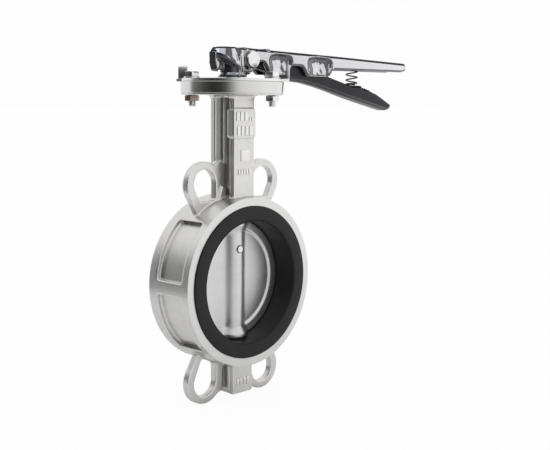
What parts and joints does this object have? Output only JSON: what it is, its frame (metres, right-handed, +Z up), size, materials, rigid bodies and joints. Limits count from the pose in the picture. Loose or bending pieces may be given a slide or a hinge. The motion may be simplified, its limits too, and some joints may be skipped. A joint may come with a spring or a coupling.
{
  "type": "butterfly valve",
  "caption": "Wafer butterfly valve with stainless body, black rubber seat, round disc on a stem, and a black hand lever with a squeeze trigger over a notched plate.",
  "frame": {"origin": "on the stem axis, at the flat foot under the lower stem boss", "axes": "+Z up along the stem from the foot to the lever, +X along the closed lever across the pipe, Y along the pipe bore with the front pipe face towards -Y"},
  "size_m": [0.3543, 0.1083, 0.3506],
  "materials": {
    "cast_stainless": "matt cast surface, machined faces",
    "disc_stainless": "satin cast",
    "bright_stainless": "bright rolled and turned",
    "zinc_plated_steel": "zinc plated",
    "black_epdm_rubber": "matt moulded",
    "black_gloss_enamel": "gloss black stoved enamel",
    "spring_steel": "dark bright-drawn wire",
    "white_ptfe": "turned",
    "black_oxide_steel": "black oxide"
  },
  "bodies": {
    "housing": {"valve_body": "cast_stainless", "seat_liner": "black_epdm_rubber", "lower_bushing": "white_ptfe", "middle_bushing": "white_ptfe", "upper_bushing": "white_ptfe", "thrust_washer": "bright_stainless", "notch_plate": "bright_stainless", "plate_bolt_left": "zinc_plated_steel", "plate_bolt_right": "zinc_plated_steel", "plate_washer_left": "zinc_plated_steel", "plate_washer_right": "zinc_plated_steel", "plate_nut_left": "zinc_plated_steel", "plate_nut_right": "zinc_plated_steel"},
    "stem_and_lever": {"stem": "bright_stainless", "disc": "disc_stainless", "disc_taper_pin": "bright_stainless", "stem_oring_inner": "black_epdm_rubber", "stem_oring_outer": "black_epdm_rubber", "stem_retaining_ring": "spring_steel", "lever_handle": "black_gloss_enamel", "lever_set_screw": "black_oxide_steel", "trigger_pivot_pin": "zinc_plated_steel", "pivot_pin_clip": "spring_steel", "trigger_spring": "spring_steel"},
    "trigger": {"trigger": "black_gloss_enamel"}
  },
  "joints": [
    {"name": "stem_turn", "type": "hinge", "parent": "housing", "child": "stem_and_lever", "pos_m": [0, 0, 0.1138], "axis": [0, 0, 1], "range_deg": [0, 90]},
    {"name": "trigger_squeeze", "type": "hinge", "parent": "stem_and_lever", "child": "trigger", "pos_m": [0.015, 0, 0.3333], "axis": [0, -1, 0], "range_deg": [0, 6], "stiffness_Nm_per_rad": 20, "springref_deg": -4.58, "deforming": ["trigger_spring"]}
  ]
}
